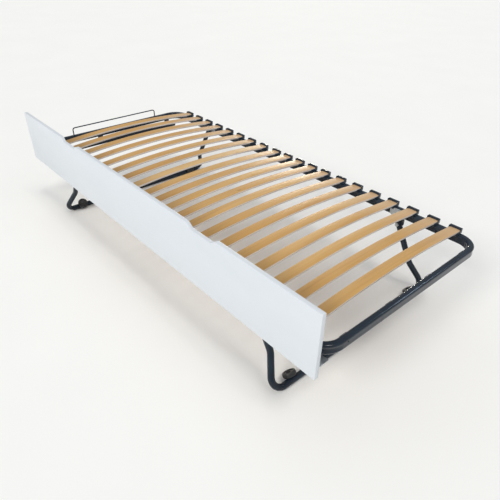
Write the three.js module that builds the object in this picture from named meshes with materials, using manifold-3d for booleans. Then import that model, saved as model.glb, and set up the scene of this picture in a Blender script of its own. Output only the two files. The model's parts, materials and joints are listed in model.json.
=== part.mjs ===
// Slatted pull-out bed base on two folding wheeled legs.
//
// Frame of the part: millimetres, +X along the bed towards the foot, +Y from the
// front panel to the back, +Z up. The origin is on the floor, under the middle of
// the object's outer box. The frame itself is centred a little behind that middle,
// because the front panel stands proud of it on one side.

import * as THREE from 'three';
import { mergeVertices } from 'three/addons/utils/BufferGeometryUtils.js';
import Module from 'manifold-3d';

const wasm = await Module();
wasm.setup();

// ---------------------------------------------------------------- dimensions

const touchGap = 0.3;                 // clearance between pieces that touch

// Frame ring of flat-oval steel tube, standing on its narrow side
const frameMidY = 14.6;               // middle of the ring across the bed
const frameHalfLength = 1003;
const frameHalfWidth = 440;
const railWidth = 24;
const railHeight = 38;
const railTop = 333;
const railRound = 8;                  // radius of the tube's long edges
const tubeWall = 1.5;
const ringCorner = 85;                // outer corner radius, seen from above
const bowArmEnd = 905;                // joint between side rail and end bow
const spigotLength = 60;

// Round stiffening tube beside and below the bar of each end bow
const braceX = 960;
const braceZ = 271;
const braceRadius = 12.5;
const braceHalfWidth = 372;
const strapY = [-330, -110, 110, 330];

// Front panel
const panelHalfLength = 1006;
const panelFrontY = frameMidY - frameHalfWidth - 36;
const panelThickness = 16;
const panelBottom = 260;
const panelTop = 498;
const notchX = [-490, 490];
const notchWidth = 168;
const notchFloor = 97;
const notchDepth = 17;

// Sprung slats
const slatWidth = 45;
const slatThickness = 8;
const slatHalfLength = 432;
const slatEndTop = 345.4;
const slatMidTop = 371;
const headPitch = 95.4;
const waistPitch = 83;
const footPitch = 94.4;
const firstSlatX = -864.5;

// Slat holders
const capWidth = 50;
const capLength = 45;
const capTop = 350;
const capLipTop = 353.5;
const capWall = 2;
const capFloorTop = 337;

// Folding legs of round steel tube
const legRadius = 12.5;
const tubeSides = 12;
const headPivotX = -657;
const footPivotX = 671;
const pivotZ = 278;
const legLean = 29.5;                 // degrees from vertical when opened
const legTail = 40;                   // tube left above the pivot
const legStraight = 173.5;            // from the pivot to where the arms splay
const legHalfTop = 400.5;             // half width at the pivots
const legHalfFoot = 452;              // half width where arm and crossbar lines meet
const legCorner = 40;
const footZ = legRadius * Math.cos(Math.PI / tubeSides);
const foldAngle = 50;                 // degrees from opened to folded

// Wheels and hardware
const wheelRadius = 25;
const wheelWidth = 20;
const wheelY = 355;
const wheelReach = 24;                // crossbar middle to wheel middle
const boltRadius = 4;
const boreRadius = 4.35;

// Wire stop on the head bow
const wireRadius = 3;
const wireX = -987;
const wireHalfWidth = 255;
const wireTop = 376;

const rad = (degrees) => degrees * Math.PI / 180;

// ----------------------------------------------------------------- materials

function enamel() {
  return new THREE.MeshStandardMaterial({ color: 0x2b3138, roughness: 0.32, metalness: 0.45 });
}

function lacquer() {
  return new THREE.MeshStandardMaterial({ color: 0xe1e8ed, roughness: 0.38, metalness: 0 });
}

function birch() {
  return new THREE.MeshStandardMaterial({ color: 0xcda768, roughness: 0.5, metalness: 0 });
}

function blackPlastic() {
  return new THREE.MeshStandardMaterial({ color: 0x15171c, roughness: 0.45, metalness: 0 });
}

function zincSteel() {
  return new THREE.MeshStandardMaterial({ color: 0xb4b8bb, roughness: 0.35, metalness: 0.9 });
}

function wheelRubber() {
  return new THREE.MeshStandardMaterial({ color: 0x202124, roughness: 0.6, metalness: 0 });
}

// ------------------------------------------------------------------- solids

// A closed three.js geometry as a solid that can be cut and joined.
function solid(geometry) {
  const bare = new THREE.BufferGeometry();
  bare.setAttribute('position', geometry.getAttribute('position').clone());
  if (geometry.index) {
    bare.setIndex(geometry.index.clone());
  }
  const merged = mergeVertices(bare, 1e-3);
  return new wasm.Manifold(new wasm.Mesh({
    numProp: 3,
    vertProperties: new Float32Array(merged.getAttribute('position').array),
    triVerts: new Uint32Array(merged.index.array),
  }));
}

// A solid back as a three.js geometry.
function surface(body) {
  const mesh = body.getMesh();
  const geometry = new THREE.BufferGeometry();
  geometry.setAttribute('position', new THREE.BufferAttribute(mesh.vertProperties, 3));
  geometry.setIndex(new THREE.BufferAttribute(mesh.triVerts, 1));
  geometry.computeVertexNormals();
  return geometry;
}

const group = new THREE.Group();

function place(name, body, material) {
  const mesh = new THREE.Mesh(surface(body), material);
  mesh.name = name;
  group.add(mesh);
  return mesh;
}

function box(lowX, highX, lowY, highY, lowZ, highZ) {
  const shape = new THREE.BoxGeometry(highX - lowX, highY - lowY, highZ - lowZ);
  shape.translate((lowX + highX) / 2, (lowY + highY) / 2, (lowZ + highZ) / 2);
  return solid(shape);
}

// A round bar from one point to another.
function bar(from, to, radius, sides) {
  const run = new THREE.Vector3().subVectors(to, from);
  const shape = new THREE.CylinderGeometry(radius, radius, run.length(), sides);
  const turn = new THREE.Quaternion().setFromUnitVectors(
    new THREE.Vector3(0, 1, 0), run.clone().normalize());
  shape.applyQuaternion(turn);
  const middle = new THREE.Vector3().addVectors(from, to).multiplyScalar(0.5);
  shape.translate(middle.x, middle.y, middle.z);
  return solid(shape);
}

// A flat plate cut to an outline in X and Z, standing between two Y values.
function plateXZ(outline, lowY, highY) {
  const shape = new THREE.Shape(outline.map(([x, z]) => new THREE.Vector2(x, z)));
  const plate = new THREE.ExtrudeGeometry(shape, { depth: highY - lowY, bevelEnabled: false });
  plate.rotateX(Math.PI / 2);
  plate.translate(0, highY, 0);
  return solid(plate);
}

// ---------------------------------------------------------------- bent tubes

// A path of straight runs and round bends, walked only at the stations that
// the bends need, so that straight runs stay single faces.
class BentPath extends THREE.Curve {
  constructor(stations) {
    super();
    this.stations = stations;
  }

  at(u) {
    return this.stations[Math.round(u * (this.stations.length - 1))];
  }

  getPointAt(u) {
    return this.at(u).point.clone();
  }

  getTangentAt(u) {
    return this.at(u).tangent.clone();
  }

  getPoint(u) {
    return this.getPointAt(u);
  }

  // The tube's section stands upright at the middle of the path and is carried
  // to both ends without twist.
  computeFrenetFrames(segments) {
    const tangents = this.stations.map((s) => s.tangent.clone());
    const middle = Math.floor(segments / 2);
    const up = new THREE.Vector3(0, 0, 1);
    const normals = [];
    normals[middle] = up.addScaledVector(tangents[middle], -up.dot(tangents[middle])).normalize();
    const carry = (from, to) => {
      const turn = new THREE.Quaternion().setFromUnitVectors(tangents[from], tangents[to]);
      normals[to] = normals[from].clone().applyQuaternion(turn);
    };
    for (let i = middle; i < segments; i += 1) {
      carry(i, i + 1);
    }
    for (let i = middle; i > 0; i -= 1) {
      carry(i, i - 1);
    }
    const binormals = normals.map((n, i) => new THREE.Vector3().crossVectors(tangents[i], n));
    return { tangents, normals, binormals };
  }
}

// Stations along a chain of corner points, each corner with its own bend radius.
function bend(corners) {
  const points = corners.map((c) => new THREE.Vector3(...c.at));
  const stations = [];
  const last = points.length - 1;
  const direction = (i) => new THREE.Vector3().subVectors(points[i + 1], points[i]).normalize();
  stations.push({ point: points[0].clone(), tangent: direction(0) });
  for (let i = 1; i < last; i += 1) {
    const into = direction(i - 1);
    const out = direction(i);
    const angle = into.angleTo(out);
    const { radius, steps } = corners[i];
    const reach = radius * Math.tan(angle / 2);
    const axis = new THREE.Vector3().crossVectors(into, out).normalize();
    const start = points[i].clone().addScaledVector(into, -reach);
    const side = new THREE.Vector3().crossVectors(axis, into).normalize();
    const centre = start.clone().addScaledVector(side, radius);
    for (let s = 0; s <= steps; s += 1) {
      const turn = angle * s / steps;
      const arm = start.clone().sub(centre).applyAxisAngle(axis, turn);
      stations.push({
        point: centre.clone().add(arm),
        tangent: into.clone().applyAxisAngle(axis, turn),
      });
    }
  }
  stations.push({ point: points[last].clone(), tangent: direction(last - 1) });
  return new BentPath(stations);
}

function roundSection(radius, sides, turnedBy = 0) {
  const ring = [];
  for (let i = 0; i < sides; i += 1) {
    const a = 2 * Math.PI * (i + turnedBy) / sides;
    ring.push(new THREE.Vector2(radius * Math.cos(a), radius * Math.sin(a)));
  }
  return ring;
}

// A rectangle with rounded corners: height along the section's first axis.
function ovalSection(height, width, round, steps) {
  const ring = [];
  const h = height / 2 - round;
  const w = width / 2 - round;
  const middles = [[h, w], [-h, w], [-h, -w], [h, -w]];
  middles.forEach(([mx, my], quarter) => {
    for (let s = 0; s <= steps; s += 1) {
      const a = Math.PI / 2 * (quarter + s / steps);
      ring.push(new THREE.Vector2(mx + round * Math.cos(a), my + round * Math.sin(a)));
    }
  });
  return ring;
}

function sweep(section, path) {
  return solid(new THREE.ExtrudeGeometry(new THREE.Shape(section), {
    steps: path.stations.length - 1,
    bevelEnabled: false,
    extrudePath: path,
  }));
}

// A hollow tube: one sweep with a thinner, slightly longer one cut out of it.
function hollow(outerSection, innerSection, corners) {
  const first = new THREE.Vector3(...corners[0].at);
  const second = new THREE.Vector3(...corners[1].at);
  const beforeLast = new THREE.Vector3(...corners[corners.length - 2].at);
  const lastPoint = new THREE.Vector3(...corners[corners.length - 1].at);
  const early = first.clone().addScaledVector(second.sub(first).normalize(), -1);
  const late = lastPoint.clone().addScaledVector(beforeLast.sub(lastPoint).normalize(), -1);
  const longer = corners.map((c) => ({ ...c }));
  longer[0].at = early.toArray();
  longer[longer.length - 1].at = late.toArray();
  return sweep(outerSection, bend(corners)).subtract(sweep(innerSection, bend(longer)));
}

// ------------------------------------------------------------- frame ring

const railMidY = frameHalfWidth - railWidth / 2;
const railMidZ = railTop - railHeight / 2;
const railBottom = railTop - railHeight;
const railInner = frameHalfWidth - railWidth;

const railOutside = () => ovalSection(railHeight, railWidth, railRound, 2);
const railInside = () => ovalSection(
  railHeight - 2 * tubeWall, railWidth - 2 * tubeWall, railRound - tubeWall, 1);

function sideRail(side) {
  const y = frameMidY + side * railMidY;
  return hollow(railOutside(), railInside(), [
    { at: [-bowArmEnd, y, railMidZ] },
    { at: [bowArmEnd, y, railMidZ] },
  ]);
}

// The U-shaped end of the ring, with a reduced spigot at each end that plugs
// into the side rails.
function endBow(end) {
  const armX = end * (bowArmEnd + touchGap);
  const barX = end * (frameHalfLength - railWidth / 2);
  const radius = ringCorner - railWidth / 2;
  const path = (startX) => [
    { at: [startX, frameMidY - railMidY, railMidZ] },
    { at: [barX, frameMidY - railMidY, railMidZ], radius, steps: 5 },
    { at: [barX, frameMidY + railMidY, railMidZ], radius, steps: 5 },
    { at: [startX, frameMidY + railMidY, railMidZ] },
  ];
  let body = hollow(railOutside(), railInside(), path(armX));
  const slim = tubeWall + touchGap;
  const plugOutside = ovalSection(railHeight - 2 * slim, railWidth - 2 * slim, railRound - slim, 1);
  const deep = slim + tubeWall;
  const plugInside = ovalSection(railHeight - 2 * deep, railWidth - 2 * deep, railRound - deep, 1);
  [-1, 1].forEach((side) => {
    const y = frameMidY + side * railMidY;
    const tip = { at: [end * (bowArmEnd - spigotLength), y, railMidZ] };
    const root = { at: [end * (bowArmEnd + 4), y, railMidZ] };
    const mouth = { at: [armX, y, railMidZ] };
    body = body.add(hollow(plugOutside, plugInside, [tip, root]));
    body = body.add(hollow(railOutside(), plugInside, [mouth, root]));
  });
  return body;
}

// The stiffening tube, with flat straps up the inner side of the end bow.
function endBrace(end) {
  let body = hollow(
    roundSection(braceRadius, tubeSides, 0.5),
    roundSection(braceRadius - tubeWall, 6, 0.5),
    [
      { at: [end * braceX, frameMidY - braceHalfWidth, braceZ] },
      { at: [end * braceX, frameMidY + braceHalfWidth, braceZ] },
    ],
  );
  const face = frameHalfLength - railWidth - touchGap;
  strapY.forEach((y) => {
    const outline = [
      [end * (braceX + 2), braceZ - 8], [end * (face - 3), braceZ + 4], [end * face, braceZ + 8],
      [end * face, railTop - 10], [end * (face - 4), railTop - 10], [end * (face - 4), braceZ + 10],
      [end * (braceX + 2), braceZ + 2],
    ];
    body = body.add(plateXZ(end > 0 ? outline : outline.reverse(),
      frameMidY + y - 15, frameMidY + y + 15));
  });
  return body;
}

function wireStop() {
  const low = railTop + touchGap;
  const high = wireTop - wireRadius;
  const path = bend([
    { at: [wireX, frameMidY - wireHalfWidth, low] },
    { at: [wireX, frameMidY - wireHalfWidth, high], radius: 12, steps: 4 },
    { at: [wireX, frameMidY + wireHalfWidth, high], radius: 12, steps: 4 },
    { at: [wireX, frameMidY + wireHalfWidth, low] },
  ]);
  return sweep(roundSection(wireRadius, 8, 0.5), path);
}

[[-1, 'front'], [1, 'back']].forEach(([side, word]) => {
  place(`side_rail_${word}`, sideRail(side), enamel());
});
[[-1, 'head'], [1, 'foot']].forEach(([end, word]) => {
  place(`end_bow_${word}`, endBow(end), enamel());
  place(`end_brace_${word}`, endBrace(end), enamel());
});
place('wire_stop', wireStop(), enamel());

// ------------------------------------------------------------- front panel

// Outline of the panel seen from the front, with a hand notch either side.
// Each notch has a flat floor and smooth S-shaped ramps.
function frontPanel() {
  const outline = [[-panelHalfLength, panelBottom], [panelHalfLength, panelBottom]];
  outline.push([panelHalfLength, panelTop]);
  const steps = 6;
  [...notchX].reverse().forEach((x) => {
    const ramp = (notchWidth - notchFloor) / 2;
    for (let s = 0; s <= steps; s += 1) {
      const drop = notchDepth * (1 - Math.cos(Math.PI * s / steps)) / 2;
      outline.push([x + notchWidth / 2 - ramp * s / steps, panelTop - drop]);
    }
    for (let s = steps; s >= 0; s -= 1) {
      const drop = notchDepth * (1 - Math.cos(Math.PI * s / steps)) / 2;
      outline.push([x - notchWidth / 2 + ramp * s / steps, panelTop - drop]);
    }
  });
  outline.push([-panelHalfLength, panelTop]);
  return plateXZ(outline, panelFrontY, panelFrontY + panelThickness);
}

// Angle bracket from the panel's back to the underside of the front rail.
function panelBracket(x, half) {
  const back = panelFrontY + panelThickness + touchGap;
  const railFront = frameMidY - frameHalfWidth;
  const under = railBottom - touchGap;
  const upright = box(x - half, x + half, back, back + 3, 268, 330);
  const shelf = box(x - half, x + half, back, railFront + 26, under - 3, under);
  const rib = plateXZ([[x - 1.5, under - 24], [x + 1.5, under - 24], [x + 1.5, under - 1],
    [x - 1.5, under - 1]], back + 1, back + 16);
  return upright.add(shelf).add(rib);
}

place('front_panel', frontPanel(), lacquer());
[[-964, 36], [-300, 20], [300, 20], [964, 36]].forEach(([x, half], i) => {
  place(`panel_bracket_${i + 1}`, panelBracket(x, half), zincSteel());
});

// ------------------------------------------------------------------- slats

// Middles of the slats along the bed: wider pitch at head and foot, closer
// together under the hips.
function slatPositions() {
  const list = [firstSlatX];
  for (let i = 1; i < 20; i += 1) {
    let pitch = headPitch;
    if (i > 8) {
      pitch = i > 12 ? footPitch : waistPitch;
    }
    list.push(list[i - 1] + pitch);
  }
  return list;
}

function slat(x) {
  const rise = slatMidTop - slatEndTop;
  const steps = 8;
  const top = [];
  const bottom = [];
  for (let s = 0; s <= steps; s += 1) {
    const y = slatHalfLength * (2 * s / steps - 1);
    const z = slatMidTop - rise * (y / slatHalfLength) ** 2;
    top.push(new THREE.Vector2(frameMidY + y, z));
    bottom.push(new THREE.Vector2(frameMidY + y, z - slatThickness));
  }
  const arch = new THREE.Shape([...bottom, ...top.reverse()]);
  const strip = new THREE.ExtrudeGeometry(arch, { depth: slatWidth, bevelEnabled: false });
  // the arch is drawn in its own X and Y: stand it up and turn it across the bed
  strip.applyMatrix4(new THREE.Matrix4().set(
    0, 0, 1, x - slatWidth / 2,
    1, 0, 0, 0,
    0, 1, 0, 0,
    0, 0, 0, 1));
  return solid(strip);
}

// One row of slat holders: cups open at the top and towards the slat, on a thin
// strip along the rail, with a raised lip at the outer end of each cup.
function slatHolders(side) {
  const low = railTop + touchGap;
  const strip = low + 1;
  const half = capWidth / 2;
  const xs = slatPositions();
  const comb = (cup) => {
    const outline = [[xs[0] - half, low], [xs[xs.length - 1] + half, low]];
    [...xs].reverse().forEach((x) => {
      if (x !== xs[xs.length - 1]) {
        outline.push([x + half, strip]);
      }
      cup(x).forEach((point) => outline.push(point));
      if (x !== xs[0]) {
        outline.push([x - half, strip]);
      }
    });
    return outline;
  };
  const channels = comb((x) => [
    [x + half, capTop], [x + half - capWall, capTop],
    [x + half - capWall, capFloorTop], [x - half + capWall, capFloorTop],
    [x - half + capWall, capTop], [x - half, capTop],
  ]);
  const ends = comb((x) => [[x + half, capLipTop], [x - half, capLipTop]]);
  const spanY = (a, b) => {
    const y1 = frameMidY + side * a;
    const y2 = frameMidY + side * b;
    return [Math.min(y1, y2), Math.max(y1, y2)];
  };
  const outer = frameHalfWidth;
  return plateXZ(channels, ...spanY(outer - capLength, outer - 4))
    .add(plateXZ(ends, ...spanY(outer - 5, outer)));
}

slatPositions().forEach((x, i) => {
  place(`slat_${String(i + 1).padStart(2, '0')}`, slat(x), birch());
});
[[-1, 'front'], [1, 'back']].forEach(([side, word]) => {
  place(`slat_holders_${word}`, slatHolders(side), blackPlastic());
});

// -------------------------------------------------------------------- legs

// Unit vector down the leg from its pivot, in X and Z, for the opened leg.
const downX = Math.sin(rad(legLean));
const downZ = -Math.cos(rad(legLean));
const legReach = (pivotZ - footZ) / Math.cos(rad(legLean));

// Axle direction of a wheel: horizontal along the bed once the leg is folded.
const axleX = Math.cos(rad(foldAngle));
const axleZ = -Math.sin(rad(foldAngle));

const pivotX = (end) => (end < 0 ? headPivotX : footPivotX);
const footX = (end) => pivotX(end) + end * downX * legReach;

function legPoint(end, distance, halfWidth, side) {
  return [
    pivotX(end) + end * downX * distance,
    frameMidY + side * halfWidth,
    pivotZ + downZ * distance,
  ];
}

// A flat U of tube. Its arms hang straight from the pivots, then splay a little
// down to the crossbar that stands on the floor.
function leg(end) {
  const halfPath = (side) => [
    { at: legPoint(end, -legTail, legHalfTop, side) },
    { at: legPoint(end, legStraight, legHalfTop, side), radius: 60, steps: 1 },
    { at: legPoint(end, legReach, legHalfFoot, side), radius: legCorner, steps: 5 },
  ];
  const path = [...halfPath(-1), ...halfPath(1).reverse()];
  const inside = roundSection(legRadius - tubeWall, 6, 0.5);
  let body = hollow(roundSection(legRadius, tubeSides, 0.5), inside, path);
  [-1, 1].forEach((side) => {
    const y = frameMidY + side * legHalfTop;
    body = body.subtract(bar(
      new THREE.Vector3(pivotX(end), y - 20, pivotZ),
      new THREE.Vector3(pivotX(end), y + 20, pivotZ), boreRadius, 8));
    body = body.subtract(bar(
      axlePoint(end, side, -16), axlePoint(end, side, 16), boreRadius, 8));
  });
  return body;
}

// Hinge plate riveted to the inner side of the rail. The leg turns on its lower
// lobe, just below the rail.
function legBracket(end, side) {
  const inner = railInner - 2.4;
  const spanY = (a, b) => {
    const y1 = frameMidY + side * a;
    const y2 = frameMidY + side * b;
    return [Math.min(y1, y2), Math.max(y1, y2)];
  };
  const outline = [];
  for (let s = 0; s <= 6; s += 1) {
    const a = Math.PI + Math.PI * s / 6;
    outline.push([pivotX(end) + 16 * Math.cos(a), pivotZ + 16 * Math.sin(a)]);
  }
  outline.push([pivotX(end) + (end > 0 ? 15 : 60), pivotZ + 24]);
  outline.push([pivotX(end) + (end > 0 ? 15 : 60), railTop - 2]);
  outline.push([pivotX(end) - (end > 0 ? 60 : 15), railTop - 2]);
  outline.push([pivotX(end) - (end > 0 ? 60 : 15), pivotZ + 24]);
  let body = plateXZ(outline, ...spanY(inner, railInner - touchGap));
  // rivet heads
  [-50, 8].forEach((x) => {
    const at = (y) => new THREE.Vector3(pivotX(end) + end * x, frameMidY + side * y, railTop - 10);
    body = body.add(bar(at(inner - 1.6), at(inner + 1), 4.5, 8));
  });
  return body.subtract(bar(
    new THREE.Vector3(pivotX(end), frameMidY + side * (inner - 10), pivotZ),
    new THREE.Vector3(pivotX(end), frameMidY + side * (railInner + 10), pivotZ), boreRadius, 8));
}

// Shouldered bolt through leg and hinge plate, hexagon head inside, nut outside.
function pivotBolt(end, side) {
  const point = (y) => new THREE.Vector3(pivotX(end), frameMidY + side * y, pivotZ);
  return bar(point(382), point(423), boltRadius, 8)
    .add(bar(point(381.5), point(387.6), 7.2, 6))
    .add(bar(point(416.2), point(421.5), 7.2, 6));
}

function axlePoint(end, side, reach) {
  return new THREE.Vector3(
    footX(end) + end * reach * axleX, frameMidY + side * wheelY, footZ + reach * axleZ);
}

// Bolt that carries a wheel on the inboard side of the crossbar. Its far end is
// flush with the tube, so that it stays off the floor.
function wheelAxle(end, side) {
  return bar(axlePoint(end, side, -38.4), axlePoint(end, side, 12.1), boltRadius, 8)
    .add(bar(axlePoint(end, side, -38.2), axlePoint(end, side, -34.5), 7, 6));
}

// Solid wheel with a rounded tread and a raised hub, turned about its axle.
function wheel(end, side) {
  const half = wheelWidth / 2;
  const profile = [
    [boreRadius, -half], [9, -half], [9, -half + 2], [wheelRadius - 3, -half + 2],
    [wheelRadius, -half + 5], [wheelRadius, half - 5], [wheelRadius - 3, half - 2],
    [9, half - 2], [9, half], [boreRadius, half], [boreRadius, -half],
  ].map(([r, y]) => new THREE.Vector2(r, y));
  const shape = new THREE.LatheGeometry(profile, 16);
  shape.applyQuaternion(new THREE.Quaternion().setFromUnitVectors(
    new THREE.Vector3(0, 1, 0), new THREE.Vector3(end * axleX, 0, axleZ)));
  const middle = axlePoint(end, side, -wheelReach);
  shape.translate(middle.x, middle.y, middle.z);
  return solid(shape);
}

[[-1, 'head'], [1, 'foot']].forEach(([end, endWord]) => {
  place(`leg_${endWord}`, leg(end), enamel());
  [[-1, 'front'], [1, 'back']].forEach(([side, sideWord]) => {
    const word = `${endWord}_${sideWord}`;
    place(`leg_bracket_${word}`, legBracket(end, side), zincSteel());
    place(`pivot_bolt_${word}`, pivotBolt(end, side), zincSteel());
    place(`wheel_${word}`, wheel(end, side), wheelRubber());
    place(`wheel_axle_${word}`, wheelAxle(end, side), zincSteel());
  });
});

export default group;
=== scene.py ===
import json
import math

import bmesh
import bpy
from mathutils import Matrix, Quaternion, Vector


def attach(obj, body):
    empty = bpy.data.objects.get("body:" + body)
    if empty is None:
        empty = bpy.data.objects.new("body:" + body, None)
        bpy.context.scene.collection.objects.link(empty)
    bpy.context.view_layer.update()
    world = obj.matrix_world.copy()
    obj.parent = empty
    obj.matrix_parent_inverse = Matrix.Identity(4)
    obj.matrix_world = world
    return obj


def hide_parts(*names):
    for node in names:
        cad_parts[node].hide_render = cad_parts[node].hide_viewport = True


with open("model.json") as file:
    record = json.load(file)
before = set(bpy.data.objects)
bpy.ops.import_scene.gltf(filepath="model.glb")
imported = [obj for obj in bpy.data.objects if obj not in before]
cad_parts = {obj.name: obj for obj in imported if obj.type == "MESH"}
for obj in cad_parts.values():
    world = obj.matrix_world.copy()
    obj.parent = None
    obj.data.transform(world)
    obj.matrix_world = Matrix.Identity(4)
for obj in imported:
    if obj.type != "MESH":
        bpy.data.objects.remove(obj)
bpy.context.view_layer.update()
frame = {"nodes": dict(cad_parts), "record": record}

NODES = frame["nodes"]
SCENE = bpy.context.scene

# ---------------------------------------------------- main dimensions, metres

MID_Y = 0.0146               # middle of the frame ring across the bed

PANEL_FRONT = MID_Y - 0.476
PANEL_THICKNESS = 0.016
PANEL_HALF = 1.006
PANEL_BOTTOM = 0.260
PANEL_TOP = 0.498
NOTCH_X = 0.490
NOTCH_WIDTH = 0.168
NOTCH_FLOOR = 0.097
NOTCH_DEPTH = 0.017

RAIL_HEIGHT = 0.038
RAIL_WIDTH = 0.024
RAIL_ROUND = 0.008
RAIL_SIDE = 0.428            # from the ring's middle to the middle of a side rail
RAIL_MID_Z = 0.314
RAIL_END = 0.905
BOW_START = 0.9053
BOW_BAR = 0.991
BOW_BEND = 0.073
BOW_HOLE_Y = -0.337          # small hole in the outer face of each end bar
BOW_SEAM_Y = -0.175          # joint round each end bar

BRACE_X = 0.960
BRACE_Z = 0.271
BRACE_RADIUS = 0.0125
BRACE_HALF = 0.372
STRAP_Y = (-0.330, -0.110, 0.110, 0.330)
STRAP_HALF = 0.015

WIRE_X = -0.987
WIRE_HALF = 0.255
WIRE_TOP = 0.373
WIRE_RADIUS = 0.003
RING_TOUCH = 0.3333          # just above the rails' top faces

SLAT_HALF = 0.432
SLAT_HALF_WIDTH = 0.0225
SLAT_THICKNESS = 0.008
SLAT_MID_TOP = 0.371
SLAT_RISE = 0.0256
FIRST_SLAT = -0.8645


# ------------------------------------------------------------------ camera

def make_camera():
    """The camera stands at the foot end, in front of the panel, and looks down the bed."""
    azimuth, elevation, roll = map(math.radians, (138.302, -34.908, 0.9654))
    ahead = Vector((math.cos(elevation) * math.cos(azimuth),
                    math.cos(elevation) * math.sin(azimuth), math.sin(elevation)))
    right = ahead.cross(Vector((0, 0, 1))).normalized()
    up = right.cross(ahead)
    right2 = math.cos(roll) * right + math.sin(roll) * up
    up2 = math.cos(roll) * up - math.sin(roll) * right
    data = bpy.data.cameras.new("camera")
    data.sensor_width = 36
    data.lens = 477.84 / 500 * 36
    data.shift_x = -(251.656 - 250) / 500
    data.shift_y = (260.125 - 250) / 500
    camera = bpy.data.objects.new("camera", data)
    rows = Matrix((right2, up2, -ahead)).transposed().to_4x4()
    camera.matrix_world = Matrix.Translation((1.5528, -1.1864, 1.2831)) @ rows
    SCENE.collection.objects.link(camera)
    SCENE.camera = camera


# --------------------------------------------------------------- materials

def new_material(name):
    material = bpy.data.materials.new(name)
    material.use_nodes = True
    tree = material.node_tree
    shader = tree.nodes["Principled BSDF"]
    return material, tree, shader


def add(tree, kind, **values):
    node = tree.nodes.new(kind)
    for key, value in values.items():
        if key in node.inputs:
            node.inputs[key].default_value = value
        else:
            setattr(node, key, value)
    return node


def spread(tree, scale, stretch=(1, 1, 1), detail=3.0, roughness=0.55):
    """Noise in the object's own metres, stretched along the axes."""
    place = add(tree, "ShaderNodeTexCoord")
    stretcher = add(tree, "ShaderNodeMapping")
    stretcher.inputs["Scale"].default_value = stretch
    noise = add(tree, "ShaderNodeTexNoise", Scale=scale, Detail=detail, Roughness=roughness)
    tree.links.new(place.outputs["Object"], stretcher.inputs["Vector"])
    tree.links.new(stretcher.outputs["Vector"], noise.inputs["Vector"])
    return noise.outputs["Fac"]


def ramp(tree, factor, stops):
    node = add(tree, "ShaderNodeValToRGB")
    while len(node.color_ramp.elements) < len(stops):
        node.color_ramp.elements.new(0.5)
    for element, (place, colour) in zip(node.color_ramp.elements, stops):
        element.position = place
        element.color = (*colour, 1) if len(colour) == 3 else colour
    tree.links.new(factor, node.inputs["Fac"])
    return node.outputs["Color"]


def span(tree, factor, low, high, from_low=0.0, from_high=1.0):
    node = add(tree, "ShaderNodeMapRange")
    node.inputs["From Min"].default_value = from_low
    node.inputs["From Max"].default_value = from_high
    node.inputs["To Min"].default_value = low
    node.inputs["To Max"].default_value = high
    tree.links.new(factor, node.inputs["Value"])
    return node.outputs["Result"]


def mix(tree, factor, a, b, blend="MIX"):
    node = add(tree, "ShaderNodeMix", data_type="RGBA", blend_type=blend)
    for value, socket in ((factor, node.inputs[0]), (a, node.inputs[6]), (b, node.inputs[7])):
        if isinstance(value, bpy.types.NodeSocket):
            tree.links.new(value, socket)
        elif isinstance(value, (int, float)):
            socket.default_value = value
        else:
            socket.default_value = (*value, 1)
    return node.outputs[2]


def bump(tree, shader, height, strength, distance):
    node = add(tree, "ShaderNodeBump", Strength=strength, Distance=distance)
    tree.links.new(height, node.inputs["Height"])
    tree.links.new(node.outputs["Normal"], shader.inputs["Normal"])


def worn_edges(tree, low=0.52, high=0.62):
    geometry = add(tree, "ShaderNodeNewGeometry")
    return span(tree, geometry.outputs["Pointiness"], 0.0, 1.0, low, high)


def enamel():
    """Dark slate blue enamel: glossy, faint orange peel, lighter on worn edges."""
    material, tree, shader = new_material("enamelled_tube")
    cloud = spread(tree, 14, detail=2)
    base = ramp(tree, cloud, [(0.30, (0.010, 0.016, 0.026)), (0.70, (0.018, 0.028, 0.042))])
    dust = span(tree, spread(tree, 160, detail=5, roughness=0.7), 0.0, 0.22, 0.60, 0.80)
    base = mix(tree, dust, base, (0.024, 0.032, 0.042))
    wear = span(tree, worn_edges(tree, 0.55, 0.70), 0.0, 0.30)
    base = mix(tree, wear, base, (0.07, 0.095, 0.125))
    tree.links.new(base, shader.inputs["Base Color"])
    tree.links.new(span(tree, spread(tree, 40, detail=3), 0.10, 0.20), shader.inputs["Roughness"])
    shader.inputs["Metallic"].default_value = 0.0
    shader.inputs["Specular IOR Level"].default_value = 0.26
    shader.inputs["Coat Weight"].default_value = 0.05
    shader.inputs["Coat Roughness"].default_value = 0.12
    bump(tree, shader, spread(tree, 260, detail=1), 0.05, 0.0003)
    return material


def lacquer():
    """Cool white lacquer over board, with a faint roller texture and soiled edges."""
    material, tree, shader = new_material("white_lacquer")
    cloud = spread(tree, 3.5, stretch=(1, 1, 2.5), detail=3)
    base = ramp(tree, cloud, [(0.25, (0.645, 0.690, 0.735)), (0.75, (0.680, 0.718, 0.762))])
    speck = span(tree, spread(tree, 600, detail=4), 0.0, 0.10, 0.62, 0.85)
    base = mix(tree, speck, base, (0.62, 0.66, 0.68))
    edge = span(tree, worn_edges(tree, 0.53, 0.66), 0.0, 0.22)
    base = mix(tree, edge, base, (0.60, 0.62, 0.62))
    tree.links.new(base, shader.inputs["Base Color"])
    tree.links.new(span(tree, spread(tree, 30, detail=4), 0.30, 0.46), shader.inputs["Roughness"])
    bump(tree, shader, spread(tree, 950, detail=2), 0.08, 0.0004)
    return material


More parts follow.
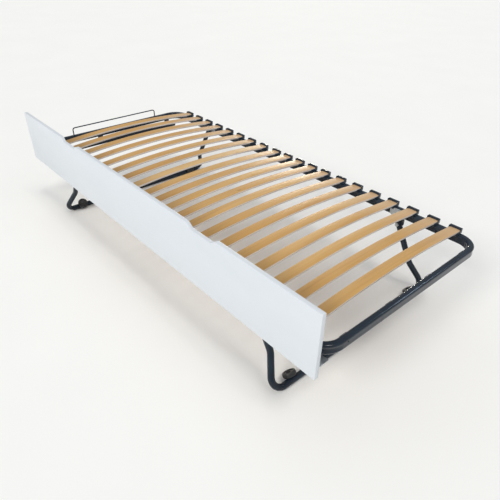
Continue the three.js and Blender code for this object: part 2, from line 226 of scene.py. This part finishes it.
def birch():
    """Lacquered birch veneer: long grain across the bed, pores, knots, ply edges, and painted light
    along each slat: paler towards the back, painted shade near the panel.
    """
    material, tree, shader = new_material("birch_veneer")
    tone = add(tree, "ShaderNodeAttribute", attribute_name="tone").outputs["Fac"]
    seed = add(tree, "ShaderNodeAttribute", attribute_name="seed").outputs["Fac"]
    side = add(tree, "ShaderNodeAttribute", attribute_name="side").outputs["Fac"]
    ply = add(tree, "ShaderNodeAttribute", attribute_name="ply").outputs["Fac"]
    place = add(tree, "ShaderNodeTexCoord")

    def grain(stretch, scale, detail, rough, warp=0.0):
        mapping = add(tree, "ShaderNodeMapping")
        mapping.inputs["Scale"].default_value = stretch
        tree.links.new(place.outputs["Object"], mapping.inputs["Vector"])
        noise = add(tree, "ShaderNodeTexNoise", noise_dimensions="4D", Scale=scale,
                    Detail=detail, Roughness=rough, Distortion=warp)
        tree.links.new(mapping.outputs["Vector"], noise.inputs["Vector"])
        tree.links.new(seed, noise.inputs["W"])
        return noise.outputs["Fac"]

    broad = grain((26, 1.6, 6), 1.0, 3, 0.55, 0.6)
    lines = grain((180, 3.2, 40), 1.0, 5, 0.62, 0.3)
    pores = grain((900, 26, 200), 1.0, 3, 0.7)
    cloud = grain((5, 3, 3), 1.0, 2, 0.5)
    reach = add(tree, "ShaderNodeAttribute", attribute_name="reach").outputs["Fac"]
    golden = ramp(tree, tone, [
        (0.00, (0.470, 0.235, 0.062)), (0.35, (0.550, 0.310, 0.088)),
        (0.70, (0.610, 0.370, 0.125)), (1.00, (0.680, 0.480, 0.235))])
    base = mix(tree, span(tree, broad, 0.0, 0.60, 0.35, 0.72), golden,
               mix(tree, 1.0, golden, (0.82, 0.73, 0.60), "MULTIPLY"))
    base = mix(tree, span(tree, lines, 0.0, 0.70, 0.44, 0.70), base,
               mix(tree, 1.0, base, (0.80, 0.70, 0.58), "MULTIPLY"))
    base = mix(tree, span(tree, pores, 0.0, 0.38, 0.62, 0.82), base, (0.32, 0.17, 0.065))
    base = mix(tree, span(tree, cloud, 0.0, 0.35, 0.45, 0.75), base, (0.66, 0.43, 0.19))
    mapping = add(tree, "ShaderNodeMapping")
    mapping.inputs["Scale"].default_value = (26, 8.5, 20)
    tree.links.new(place.outputs["Object"], mapping.inputs["Vector"])
    spots = add(tree, "ShaderNodeTexVoronoi", voronoi_dimensions="4D", Scale=1.0)
    tree.links.new(mapping.outputs["Vector"], spots.inputs["Vector"])
    tree.links.new(seed, spots.inputs["W"])
    knot = span(tree, spots.outputs["Distance"], 0.85, 0.0, 0.04, 0.14)
    base = mix(tree, knot, base, (0.24, 0.105, 0.030))
    bands = add(tree, "ShaderNodeMath", operation="SINE")
    scaled = add(tree, "ShaderNodeMath", operation="MULTIPLY")
    scaled.inputs[1].default_value = 10.5
    tree.links.new(ply, scaled.inputs[0])
    tree.links.new(scaled.outputs[0], bands.inputs[0])
    # painted light: every slat paler towards its back end; painted shade: darker and warmer at its
    # front end by the panel
    base = mix(tree, span(tree, reach, 0.0, 0.60, 0.70, 1.0), base, (0.62, 0.44, 0.29))
    base = mix(tree, span(tree, reach, 0.35, 0.0, 0.0, 0.30), base, (0.47, 0.24, 0.065))
    layered = ramp(tree, span(tree, bands.outputs[0], 0, 1, -1, 1),
                   [(0.35, (0.56, 0.49, 0.44)), (0.65, (0.80, 0.74, 0.70))])
    layered = mix(tree, span(tree, lines, 0.0, 0.5, 0.4, 0.7), layered, (0.33, 0.24, 0.15))
    base = mix(tree, side, base, layered)
    tree.links.new(base, shader.inputs["Base Color"])
    tree.links.new(span(tree, lines, 0.42, 0.62), shader.inputs["Roughness"])
    shader.inputs["Coat Weight"].default_value = 0.04
    shader.inputs["Coat Roughness"].default_value = 0.25
    height = mix(tree, 0.5, lines, pores)
    bump(tree, shader, height, 0.22, 0.0008)
    return material


def moulded(name, dark, light, low, high):
    """Moulded plastic with a fine spark texture and rubbed edges."""
    material, tree, shader = new_material(name)
    base = ramp(tree, spread(tree, 60, detail=3), [(0.3, dark), (0.7, light)])
    rubbed = span(tree, worn_edges(tree, 0.54, 0.68), 0.0, 0.30)
    base = mix(tree, rubbed, base, tuple(c * 2.6 + 0.02 for c in light))
    tree.links.new(base, shader.inputs["Base Color"])
    tree.links.new(span(tree, spread(tree, 160, detail=3), low, high), shader.inputs["Roughness"])
    bump(tree, shader, spread(tree, 1500, detail=2), 0.18, 0.0004)
    return material


def zinc():
    """Zinc plated steel: spangled, brushed a little, with dull stains."""
    material, tree, shader = new_material("zinc_steel")
    place = add(tree, "ShaderNodeTexCoord")
    cells = add(tree, "ShaderNodeTexVoronoi", Scale=140)
    tree.links.new(place.outputs["Object"], cells.inputs["Vector"])
    spangle = span(tree, cells.outputs["Color"], 0.0, 1.0)
    base = ramp(tree, spangle, [(0.0, (0.40, 0.43, 0.45)), (1.0, (0.62, 0.65, 0.67))])
    stain = span(tree, spread(tree, 40, detail=4), 0.0, 0.4, 0.5, 0.8)
    base = mix(tree, stain, base, (0.33, 0.34, 0.34))
    tree.links.new(base, shader.inputs["Base Color"])
    shader.inputs["Metallic"].default_value = 0.85
    tree.links.new(span(tree, spangle, 0.28, 0.46), shader.inputs["Roughness"])
    bump(tree, shader, spread(tree, 300, stretch=(1, 1, 4), detail=3), 0.12, 0.0004)
    return material


MATERIAL = {
    "enamelled_tube": enamel(),
    "white_lacquer": lacquer(),
    "birch_veneer": birch(),
    "black_plastic": moulded("black_plastic", (0.008, 0.015, 0.025), (0.014, 0.028, 0.046),
                             0.26, 0.42),
    "zinc_steel": zinc(),
    "wheel_plastic": moulded("wheel_plastic", (0.010, 0.010, 0.011), (0.022, 0.022, 0.023),
                             0.42, 0.60),
}
HUB = moulded("wheel_hub", (0.014, 0.014, 0.015), (0.028, 0.028, 0.030), 0.34, 0.50)


# ------------------------------------------------------------------ meshes

def sharpen(bm, angle=34):
    limit = math.radians(angle)
    for face in bm.faces:
        face.smooth = True
    for edge in bm.edges:
        if len(edge.link_faces) == 2 and edge.calc_face_angle(0) > limit:
            edge.smooth = False


def to_object(name, bm, slot, body, replaces=(), material=None, angle=34):
    bmesh.ops.recalc_face_normals(bm, faces=bm.faces)
    sharpen(bm, angle)
    mesh = bpy.data.meshes.new(name)
    bm.to_mesh(mesh)
    bm.free()
    piece = bpy.data.objects.new(name, mesh)
    SCENE.collection.objects.link(piece)
    mesh.materials.append(material or MATERIAL[slot])
    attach(piece, body)
    if replaces:
        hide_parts(*replaces)
    return piece


def bend(corners):
    """Stations (point, direction) along a chain of (point, radius, steps) corners."""
    points = [Vector(c[0]) for c in corners]
    ways = [(b - a).normalized() for a, b in zip(points, points[1:])]
    stations = [(points[0], ways[0])]
    for i in range(1, len(points) - 1):
        into, out = ways[i - 1], ways[i]
        _, radius, steps = corners[i]
        angle = into.angle(out)
        axis = into.cross(out).normalized()
        start = points[i] - into * radius * math.tan(angle / 2)
        centre = start + axis.cross(into).normalized() * radius
        for s in range(steps + 1):
            turn = Quaternion(axis, angle * s / steps)
            stations.append((centre + turn @ (start - centre), turn @ into))
    stations.append((points[-1], ways[-1]))
    return stations


def subdivided(stations, longest):
    """Adds stations on straight runs, so that no step is longer than this."""
    result = [stations[0]]
    for (p, t), (q, u) in zip(stations, stations[1:]):
        run = (q - p).length
        count = max(1, int(math.ceil(run / longest))) if t.angle(u) < 1e-4 else 1
        for k in range(1, count + 1):
            result.append((p.lerp(q, k / count), u if k == count else t))
    return result


def round_section(radius, sides):
    return [(radius * math.cos(2 * math.pi * i / sides), radius * math.sin(2 * math.pi * i / sides))
            for i in range(sides)]


def oval_section(height, width, radius, steps):
    h, w = height / 2 - radius, width / 2 - radius
    ring = []
    for quarter, (a, b) in enumerate([(h, w), (-h, w), (-h, -w), (h, -w)]):
        for s in range(steps + 1):
            t = math.pi / 2 * (quarter + s / steps)
            ring.append((a + radius * math.cos(t), b + radius * math.sin(t)))
    return ring


def rail_section():
    """The ring's flat-oval tube, with extra points along its tall walls."""
    ring = oval_section(RAIL_HEIGHT, RAIL_WIDTH, RAIL_ROUND, 7)
    full = []
    for (a, b), (c, d) in zip(ring, ring[1:] + ring[:1]):
        full.append((a, b))
        if abs(a - c) > 0.010:
            full += [(a + (c - a) * k / 8, b) for k in range(1, 8)]
    return full


def sweep(stations, section, first=Vector((0, 0, 1)), shape=None, dome=0.0):
    """A closed skin along the stations. first is the section's first axis."""
    bm = bmesh.new()
    rings = []
    normal = (first - stations[0][1] * first.dot(stations[0][1])).normalized()
    before = stations[0][1]
    for index, (point, way) in enumerate(stations):
        normal = before.rotation_difference(way) @ normal
        normal = (normal - way * normal.dot(way)).normalized()
        before = way
        across = way.cross(normal)
        ring = []
        for a, b in section:
            if shape:
                a, b = shape(index, a, b)
            ring.append(bm.verts.new(point + normal * a + across * b))
        rings.append(ring)
    count = len(section)
    for one, two in zip(rings, rings[1:]):
        for i in range(count):
            j = (i + 1) % count
            bm.faces.new((one[i], one[j], two[j], two[i]))
    for ring, (point, way), sign in ((rings[0], stations[0], -1), (rings[-1], stations[-1], 1)):
        if dome:
            for factor, reach in ((0.92, 0.38), (0.70, 0.75), (0.38, 0.95)):
                inner = [bm.verts.new(point + (v.co - point) * 1.0) for v in ring]
                for v, source in zip(inner, ring):
                    v.co = point + (source.co - point) * factor + way * sign * dome * reach
                outline = ring if factor == 0.92 else last
                for i in range(count):
                    j = (i + 1) % count
                    bm.faces.new((outline[i], outline[j], inner[j], inner[i]))
                last = inner
            bm.faces.new(last)
        else:
            bm.faces.new(ring)
    return bm


def lathe(profile, centre, axis, sides=48):
    """Turned solid: profile of (radius, reach along the axis), closed on itself or on the axis."""
    bm = bmesh.new()
    turn = Vector((0, 0, 1)).rotation_difference(Vector(axis).normalized())
    rings = []
    for radius, reach in profile:
        if radius < 1e-7:
            rings.append([bm.verts.new(Vector(centre) + turn @ Vector((0, 0, reach)))])
            continue
        ring = []
        for i in range(sides):
            a = 2 * math.pi * i / sides
            ring.append(bm.verts.new(Vector(centre) + turn @ Vector(
                (radius * math.cos(a), radius * math.sin(a), reach))))
        rings.append(ring)
    closed = profile[0][0] > 1e-7
    pairs = list(zip(rings, rings[1:])) + ([(rings[-1], rings[0])] if closed else [])
    for one, two in pairs:
        for i in range(sides):
            j = (i + 1) % sides
            if len(one) == 1:
                bm.faces.new((one[0], two[j], two[i]))
            elif len(two) == 1:
                bm.faces.new((one[i], one[j], two[0]))
            else:
                bm.faces.new((one[i], one[j], two[j], two[i]))
    return bm


def block(low, high):
    bm = bmesh.new()
    bmesh.ops.create_cube(bm, size=1)
    low, high = Vector(low), Vector(high)
    for v in bm.verts:
        v.co = Vector([(low[i] + high[i]) / 2 + v.co[i] * (high[i] - low[i]) for i in range(3)])
    return bm


def prism(outline, low, high, axis):
    """A flat outline given as pairs, extruded between two values of the named axis."""
    bm = bmesh.new()

    def at(p, value):
        if axis == "y":
            return Vector((p[0], value, p[1]))
        if axis == "x":
            return Vector((value, p[0], p[1]))
        return Vector((p[0], p[1], value))

    one = [bm.verts.new(at(p, low)) for p in outline]
    two = [bm.verts.new(at(p, high)) for p in outline]
    count = len(outline)
    bm.faces.new(one)
    bm.faces.new(list(reversed(two)))
    for i in range(count):
        j = (i + 1) % count
        bm.faces.new((one[j], one[i], two[i], two[j]))
    bmesh.ops.recalc_face_normals(bm, faces=bm.faces)
    return bm


def soften(bm, width, segments=2, angle=40):
    """Rounds every edge sharper than the angle."""
    limit = math.radians(angle)
    edges = [e for e in bm.edges if len(e.link_faces) == 2 and e.calc_face_angle(0) > limit]
    bmesh.ops.bevel(bm, geom=edges, offset=width, segments=segments, profile=0.5,
                    affect="EDGES", clamp_overlap=True)
    return bm


def combine(first, others, operation):
    """Joins or cuts closed meshes and returns the result as a new bmesh."""
    made = []
    for bm in [first, *others]:
        mesh = bpy.data.meshes.new("work")
        bmesh.ops.recalc_face_normals(bm, faces=bm.faces)
        bm.to_mesh(mesh)
        bm.free()
        part = bpy.data.objects.new("work", mesh)
        SCENE.collection.objects.link(part)
        made.append(part)
    for tool in made[1:]:
        modifier = made[0].modifiers.new("b", "BOOLEAN")
        modifier.operation = operation
        modifier.solver = "EXACT"
        modifier.object = tool
    bpy.context.view_layer.update()
    graph = bpy.context.evaluated_depsgraph_get()
    mesh = bpy.data.meshes.new_from_object(made[0].evaluated_get(graph))
    bm = bmesh.new()
    bm.from_mesh(mesh)
    bmesh.ops.remove_doubles(bm, verts=bm.verts, dist=1e-6)
    bmesh.ops.dissolve_limit(bm, angle_limit=0.002, verts=bm.verts, edges=bm.edges)
    bpy.data.meshes.remove(mesh)
    for part in made:
        data = part.data
        bpy.data.objects.remove(part)
        bpy.data.meshes.remove(data)
    return bm


# -------------------------------------------------------------- frame ring

def rail_pieces():
    for side, word in ((-1, "front"), (1, "back")):
        y = MID_Y + side * RAIL_SIDE
        path = subdivided(bend([((-RAIL_END, y, RAIL_MID_Z), 0, 0),
                                ((RAIL_END, y, RAIL_MID_Z), 0, 0)]), 0.05)
        bm = sweep(path, rail_section())
        holes = []
        for x in (-0.826, 0.8275):
            holes.append(lathe([(0, -0.006), (0.0034, -0.006), (0.0034, 0.006), (0, 0.006)],
                               (x, y - side * RAIL_WIDTH / 2, 0.308), (0, 1, 0), 20))
        bm = combine(bm, holes, "DIFFERENCE")
        to_object(f"rail_{word}", bm, "enamelled_tube", "frame", [f"side_rail_{word}"])


def bow_pieces():
    steps = 36
    for end, word in ((-1, "head"), (1, "foot")):
        start = end * BOW_START
        bar = end * BOW_BAR
        path = bend([
            ((start, MID_Y - RAIL_SIDE, RAIL_MID_Z), 0, 0),
            ((bar, MID_Y - RAIL_SIDE, RAIL_MID_Z), BOW_BEND, steps),
            ((bar, MID_Y + RAIL_SIDE, RAIL_MID_Z), BOW_BEND, steps),
            ((start, MID_Y + RAIL_SIDE, RAIL_MID_Z), 0, 0)])
        first = 1
        second = first + steps + 1

        def crush(index, a, b, first=first, second=second, end=end):
            """The bent corners: outer wall dished along its middle, inner wall lightly folded."""
            for begin in (first, second):
                t = (index - begin) / steps
                if 0 <= t <= 1:
                    swell = math.sin(math.pi * t)
                    middle = max(0.0, 1 - (a / 0.011) ** 2)
                    if end * b > 0.0115:
                        b -= end * 0.0030 * swell * middle
                    if end * b < -0.0115:
                        fold = 0.5 - 0.5 * math.cos(2 * math.pi * 7 * t)
                        b += end * 0.0012 * swell * middle * fold
                    a *= 1 - 0.012 * swell
            return a, b

        bm = sweep(path, rail_section(), shape=crush)
        holes = [lathe([(0, -0.006), (0.0032, -0.006), (0.0032, 0.006), (0, 0.006)],
                       (end * 1.003, MID_Y + BOW_HOLE_Y, 0.319), (1, 0, 0), 20)]
        bm = combine(bm, holes, "DIFFERENCE")
        to_object(f"bow_{word}", bm, "enamelled_tube", "frame", [f"end_bow_{word}"])
        seam = prism(offset_ring(rail_section(), 0.00025), MID_Y + BOW_SEAM_Y - 0.0005,
                     MID_Y + BOW_SEAM_Y + 0.0005, "y")
        for v in seam.verts:
            v.co = Vector((bar + v.co.z, v.co.y, RAIL_MID_Z + v.co.x))
        to_object(f"bow_seam_{word}", seam, "black_plastic", "frame")



def offset_ring(ring, by):
    """The outline a little larger all round."""
    return [(a + math.copysign(by, a), b + math.copysign(by, b)) for a, b in ring]


def brace_pieces():
    for end, word in ((-1, "head"), (1, "foot")):
        path = subdivided(bend([((end * BRACE_X, MID_Y - BRACE_HALF, BRACE_Z), 0, 0),
                                ((end * BRACE_X, MID_Y + BRACE_HALF, BRACE_Z), 0, 0)]), 0.05)
        to_object(f"brace_{word}", sweep(path, round_section(BRACE_RADIUS, 28), dome=0.0010),
                  "enamelled_tube", "frame", [f"end_brace_{word}"])
        for number, y in enumerate(STRAP_Y):
            outline = [(end * x, z) for x, z in (
                (0.9620, 0.2632), (0.9757, 0.2750), (0.9780, 0.2772), (0.9787, 0.2800),
                (0.9787, 0.3230), (0.9747, 0.3230), (0.9747, 0.2814), (0.9620, 0.2732))]
            plate = prism(outline, MID_Y + y - STRAP_HALF, MID_Y + y + STRAP_HALF, "y")
            soften(plate, 0.0005, 2, 50)
            to_object(f"brace_strap_{word}_{number + 1}", plate, "enamelled_tube", "frame")
            rivet = lathe([(0, -0.0002), (0.0046, -0.0002), (0.0043, 0.0009), (0.0030, 0.0018),
                           (0, 0.0021)],
                          (end * 0.9747, MID_Y + y, 0.314), (-end, 0, 0), 20)
            to_object(f"brace_rivet_{word}_{number + 1}", rivet, "zinc_steel", "frame")


def wire_piece():
    path = bend([
        ((WIRE_X, MID_Y - WIRE_HALF, RING_TOUCH), 0, 0),
        ((WIRE_X, MID_Y - WIRE_HALF, WIRE_TOP), 0.012, 10),
        ((WIRE_X, MID_Y + WIRE_HALF, WIRE_TOP), 0.012, 10),
        ((WIRE_X, MID_Y + WIRE_HALF, RING_TOUCH), 0, 0)])
    to_object("stop_wire", sweep(path, round_section(WIRE_RADIUS, 16), first=Vector((1, 0, 0))),
              "enamelled_tube", "frame", ["wire_stop"])
    for number, s in enumerate((-1, 1)):
        bead = lathe([(0, 0.0), (0.0058, 0.0), (0.0050, 0.0012), (0.0036, 0.0030), (0.0031, 0.0046),
                      (0, 0.0046)], (WIRE_X, MID_Y + s * WIRE_HALF, 0.3331), (0, 0, 1), 24)
        to_object(f"stop_weld_{number + 1}", bead, "enamelled_tube", "frame")


# ------------------------------------------------------------------- panel

def panel_piece():
    """The board, with an S-shaped ramp down to the floor of each notch and up again."""
    steps = 14
    length = (NOTCH_WIDTH - NOTCH_FLOOR) / 2
    outline = [(-PANEL_HALF, PANEL_BOTTOM), (PANEL_HALF, PANEL_BOTTOM), (PANEL_HALF, PANEL_TOP)]
    for x in (NOTCH_X, -NOTCH_X):
        for s in range(steps + 1):
            drop = NOTCH_DEPTH * (1 - math.cos(math.pi * s / steps)) / 2
            outline.append((x + NOTCH_WIDTH / 2 - length * s / steps, PANEL_TOP - drop))
        for s in range(steps, -1, -1):
            drop = NOTCH_DEPTH * (1 - math.cos(math.pi * s / steps)) / 2
            outline.append((x - NOTCH_WIDTH / 2 + length * s / steps, PANEL_TOP - drop))
    outline.append((-PANEL_HALF, PANEL_TOP))
    bm = prism(outline, PANEL_FRONT, PANEL_FRONT + PANEL_THICKNESS, "y")
    soften(bm, 0.0016, 3, 50)
    to_object("panel", bm, "white_lacquer", "frame", ["front_panel"], angle=50)


# ------------------------------------------------------------------- slats

def slat_middles():
    places = [FIRST_SLAT]
    for i in range(1, 20):
        places.append(places[-1] + (0.0954 if i <= 8 else 0.083 if i <= 12 else 0.0944))
    return places


TONES = [0.55, 0.42, 0.60, 0.30, 0.48, 0.66, 0.40, 0.86, 0.52, 0.36,
         0.58, 0.44, 0.62, 0.50, 0.38, 0.56, 0.46, 0.60, 0.52, 0.57]


def slat_top(y):
    return SLAT_MID_TOP - SLAT_RISE * (y / SLAT_HALF) ** 2


def slat_piece(number, x):
    """An arched strip with rounded corners and arrises. Its attributes steer the grain, the ply
    edges and the painted light and shade along the slat.
    """
    half, thick, corner, arris = SLAT_HALF_WIDTH, SLAT_THICKNESS, 0.007, 0.0013
    straight = SLAT_HALF - corner
    ys = []
    for i in range(7):
        ys.append(-SLAT_HALF + corner * (1 - math.cos(math.pi / 2 * i / 6)))
    for i in range(1, 48):
        ys.append(-straight + 2 * straight * i / 48)
    ys += [-y for y in reversed(ys[:7])]
    bm = bmesh.new()
    tone = bm.verts.layers.float.new("tone")
    seed = bm.verts.layers.float.new("seed")
    side = bm.verts.layers.float.new("side")
    ply = bm.verts.layers.float.new("ply")
    reach = bm.verts.layers.float.new("reach")
    rings = []
    for y in ys:
        d = min(SLAT_HALF - abs(y), corner)
        w = half - corner + math.sqrt(max(0.0, corner ** 2 - (corner - d) ** 2))
        top = slat_top(y)
        section = []
        for sx, sz, begin in ((1, 1, 0), (-1, 1, 1), (-1, -1, 2), (1, -1, 3)):
            cx = sx * (w - arris)
            cz = top - arris if sz > 0 else top - thick + arris
            for s in range(4):
                a = math.pi / 2 * (begin + s / 3)
                section.append((cx + arris * math.cos(a), cz + arris * math.sin(a)))
        ring = []
        for px, pz in section:
            v = bm.verts.new((x + px, MID_Y + y, pz))
            v[tone] = TONES[number]
            v[seed] = number * 3.7 + 0.6
            # 0 at the front end, 1 at the back end: drives the painted light and painted shade along
            #                                        the slat
            v[reach] = 0.5 + 0.5 * y / SLAT_HALF
            v[side] = 1.0 if abs(px) > w - 0.35 * arris else 0.0
            v[ply] = (pz - (top - thick / 2)) / (thick / 2)
            ring.append(v)
        rings.append(ring)
    count = len(rings[0])
    for one, two in zip(rings, rings[1:]):
        for i in range(count):
            j = (i + 1) % count
            bm.faces.new((one[i], one[j], two[j], two[i]))
    bm.faces.new(rings[0])
    bm.faces.new(rings[-1])
    to_object(f"birch_slat_{number + 1:02d}", bm, "birch_veneer", "frame",
              [f"slat_{number + 1:02d}"], angle=50)


def holder_mesh(x, side):
    """One moulded cup: low side walls, a raised rim round the slat's outer end."""
    def across(a, b):
        y1, y2 = MID_Y + side * a, MID_Y + side * b
        return min(y1, y2), max(y1, y2)

    y1, y2 = across(0.395, 0.440)
    body = block((x - 0.025, y1, RING_TOUCH), (x + 0.025, y2, 0.3535))
    p1, p2 = across(0.394, 0.4345)
    pocket = block((x - 0.0231, p1, 0.3370), (x + 0.0231, p2, 0.360))
    s1, s2 = across(0.394, 0.423)
    shoulder = block((x - 0.03, s1, 0.3455), (x + 0.03, s2, 0.360))
    bm = combine(body, [pocket, shoulder], "DIFFERENCE")
    soften(bm, 0.0009, 2, 40)
    return bm


def slat_pieces():
    for number, x in enumerate(slat_middles()):
        slat_piece(number, x)
        for side, word in ((-1, "front"), (1, "back")):
            to_object(f"slat_cup_{word}_{number + 1:02d}", holder_mesh(x, side), "black_plastic",
                      "frame", [f"slat_holders_{word}"] if number == 0 else ())


# -------------------------------------------------------------------- legs

LEAN = math.radians(29.5)
FOLD = math.radians(50)
PIVOT_X = {-1: -0.657, 1: 0.671}
PIVOT_Z = 0.278
FOOT_Z = 0.0125 * math.cos(math.pi / 12)
LEG_REACH = (PIVOT_Z - FOOT_Z) / math.cos(LEAN)
LEG_TAIL = 0.040             # tube left above the pivot
LEG_SPLAY_FROM = 0.1735      # from the pivot to where the arms splay
LEG_HALF_TOP = 0.4005
LEG_HALF_FOOT = 0.452
WHEEL_SIDE = 0.355
WHEEL_REACH = 0.024          # crossbar middle to wheel middle


def leg_at(end, distance, half, side):
    return Vector((PIVOT_X[end] + end * math.sin(LEAN) * distance, MID_Y + side * half,
                   PIVOT_Z - math.cos(LEAN) * distance))


def axle_at(end, side, reach):
    foot_x = PIVOT_X[end] + end * math.sin(LEAN) * LEG_REACH
    return Vector((foot_x + end * reach * math.cos(FOLD), MID_Y + side * WHEEL_SIDE,
                   FOOT_Z - reach * math.sin(FOLD)))


def leg_pieces():
    for end, word in ((-1, "head"), (1, "foot")):
        def half_path(side):
            return [
                (leg_at(end, -LEG_TAIL, LEG_HALF_TOP, side), 0, 0),
                (leg_at(end, LEG_SPLAY_FROM, LEG_HALF_TOP, side), 0.060, 8),
                (leg_at(end, LEG_REACH, LEG_HALF_FOOT, side), 0.040, 18)]
        path = bend(half_path(-1) + list(reversed(half_path(1))))
        bm = sweep(path, round_section(0.01235, 32), first=Vector((0, 1, 0)), dome=0.0022)
        bores = []
        for side in (-1, 1):
            y = MID_Y + side * LEG_HALF_TOP
            bores.append(lathe([(0, -0.02), (0.00435, -0.02), (0.00435, 0.02), (0, 0.02)],
                               (PIVOT_X[end], y, PIVOT_Z), (0, 1, 0), 24))
            way = Vector((end * math.cos(FOLD), 0, -math.sin(FOLD)))
            bores.append(lathe([(0, -0.016), (0.00415, -0.016), (0.00415, 0.016), (0, 0.016)],
                               axle_at(end, side, 0), way, 24))
        bm = combine(bm, bores, "DIFFERENCE")
        to_object(f"leg_tube_{word}", bm, "enamelled_tube", f"leg_{word}", [f"leg_{word}"])
        for side, side_word in ((-1, "front"), (1, "back")):
            leg_hardware(end, word, side, side_word)


def bolt(name, start, stop, head_length, head_radius, body, node, nut=None, material=None):
    """Bolt with a chamfered hexagon head and a washer, and a nut at the far end if asked."""
    way = (stop - start).normalized()
    shank = lathe([(0, 0.0), (0.004, 0.0), (0.004, (stop - start).length - 0.0006),
                   (0.0034, (stop - start).length), (0, (stop - start).length)], start, way, 24)
    head = lathe([(0, 0.0), (head_radius * 0.86, 0.0), (head_radius, 0.0007),
                  (head_radius, head_length), (0, head_length)], start, way, 6)
    washer = lathe([(0.002, head_length - 0.0003), (head_radius * 1.12, head_length - 0.0003),
                    (head_radius * 1.12, head_length + 0.0008), (0.002, head_length + 0.0008)],
                   start, way, 24)
    parts = [head, washer]
    if nut:
        parts.append(lathe([(0.002, nut), (head_radius * 0.98, nut), (head_radius, nut + 0.0006),
                            (head_radius, nut + 0.0042), (head_radius * 0.88, nut + 0.0048),
                            (0.002, nut + 0.0048)], start, way, 6))
    bm = combine(shank, parts, "UNION")
    to_object(name, bm, "zinc_steel", body, [node], material=material)


def leg_hardware(end, word, side, side_word):
    tag = f"{word}_{side_word}"

    def pin(y):
        return Vector((PIVOT_X[end], MID_Y + side * y, PIVOT_Z))

    bolt(f"hinge_bolt_{tag}", pin(0.3815), pin(0.4230), 0.0052, 0.0070, "frame",
         f"pivot_bolt_{tag}", nut=0.0347)
    bolt(f"axle_bolt_{tag}", axle_at(end, side, -0.0383), axle_at(end, side, 0.0121), 0.0030, 0.0066,
         f"leg_{word}", f"wheel_axle_{tag}", material=HUB)
    way = Vector((end * math.cos(FOLD), 0, -math.sin(FOLD)))
    centre = axle_at(end, side, -WHEEL_REACH)
    tread = [(0.0112, -0.0062), (0.0178, -0.0062), (0.0186, -0.0080), (0.0212, -0.0092),
             (0.0232, -0.0086), (0.0244, -0.0064), (0.0249, -0.0030), (0.0250, 0.0),
             (0.0249, 0.0030), (0.0244, 0.0064), (0.0232, 0.0086), (0.0212, 0.0092),
             (0.0186, 0.0080), (0.0178, 0.0062), (0.0112, 0.0062)]
    to_object(f"wheel_tread_{tag}", lathe(tread, centre, way), "wheel_plastic", f"wheel_{tag}",
              [f"wheel_{tag}"])
    hub = [(0.0044, -0.0100), (0.0082, -0.0100), (0.0090, -0.0092), (0.0092, -0.0068),
           (0.0111, -0.0064), (0.0111, 0.0064), (0.0092, 0.0068), (0.0090, 0.0092),
           (0.0082, 0.0100), (0.0044, 0.0100)]
    to_object(f"wheel_hub_{tag}", lathe(hub, centre, way), "wheel_plastic", f"wheel_{tag}",
              material=HUB)


# ------------------------------------------------------------ CAD pieces kept

def repaint():
    """CAD nodes whose shape stays get the full materials."""
    for item in frame["record"]["subparts"]:
        node = NODES[item["node"]]
        node.data.materials.clear()
        node.data.materials.append(MATERIAL[item["material_slot"]])


# ------------------------------------------------------------------- stage

def make_stage():
    mesh = bpy.data.meshes.new("floor")
    size = 40
    mesh.from_pydata([(-size, -size, 0), (size, -size, 0), (size, size, 0), (-size, size, 0)], [],
                     [(0, 1, 2, 3)])
    floor = bpy.data.objects.new("floor", mesh)
    SCENE.collection.objects.link(floor)
    material, tree, shader = new_material("floor_paper")
    base = ramp(tree, spread(tree, 2.0, detail=2),
                [(0.3, (0.900, 0.896, 0.880)), (0.7, (0.915, 0.911, 0.895))])
    tree.links.new(base, shader.inputs["Base Color"])
    shader.inputs["Roughness"].default_value = 0.95
    shader.inputs["Specular IOR Level"].default_value = 0.1
    mesh.materials.append(material)

    world = bpy.data.worlds.new("studio")
    SCENE.world = world
    world.use_nodes = True
    background = world.node_tree.nodes["Background"]
    background.inputs["Color"].default_value = (0.87, 0.92, 0.97, 1)
    background.inputs["Strength"].default_value = 0.53

    def sun(name, toward, strength, angle, colour=(1, 1, 1), glossy_only=False):
        data = bpy.data.lights.new(name, "SUN")
        data.energy = strength
        data.angle = math.radians(angle)
        data.color = colour
        light = bpy.data.objects.new(name, data)
        SCENE.collection.objects.link(light)
        light.visible_diffuse = not glossy_only
        light.rotation_mode = "QUATERNION"
        light.rotation_quaternion = Vector(toward).to_track_quat("-Z", "Y")

    sun("key", (-0.50, 0.02, -1.0), 0.86, 16, (1.0, 0.955, 0.90))
    sun("front", (-0.08, 0.82, -0.57), 1.66, 22, (1.0, 0.97, 0.92))
    sun("streak_back", (-0.335, -0.733, -0.598), 0.32, 6, (0.62, 0.80, 1.0), glossy_only=True)
    sun("streak_head", (0.68, -0.73, -0.12), 0.7, 4, (1.0, 0.93, 0.78), glossy_only=True)
    SCENE.view_settings.view_transform = "Standard"


make_camera()
repaint()
rail_pieces()
bow_pieces()
brace_pieces()
wire_piece()
panel_piece()
slat_pieces()
leg_pieces()
make_stage()
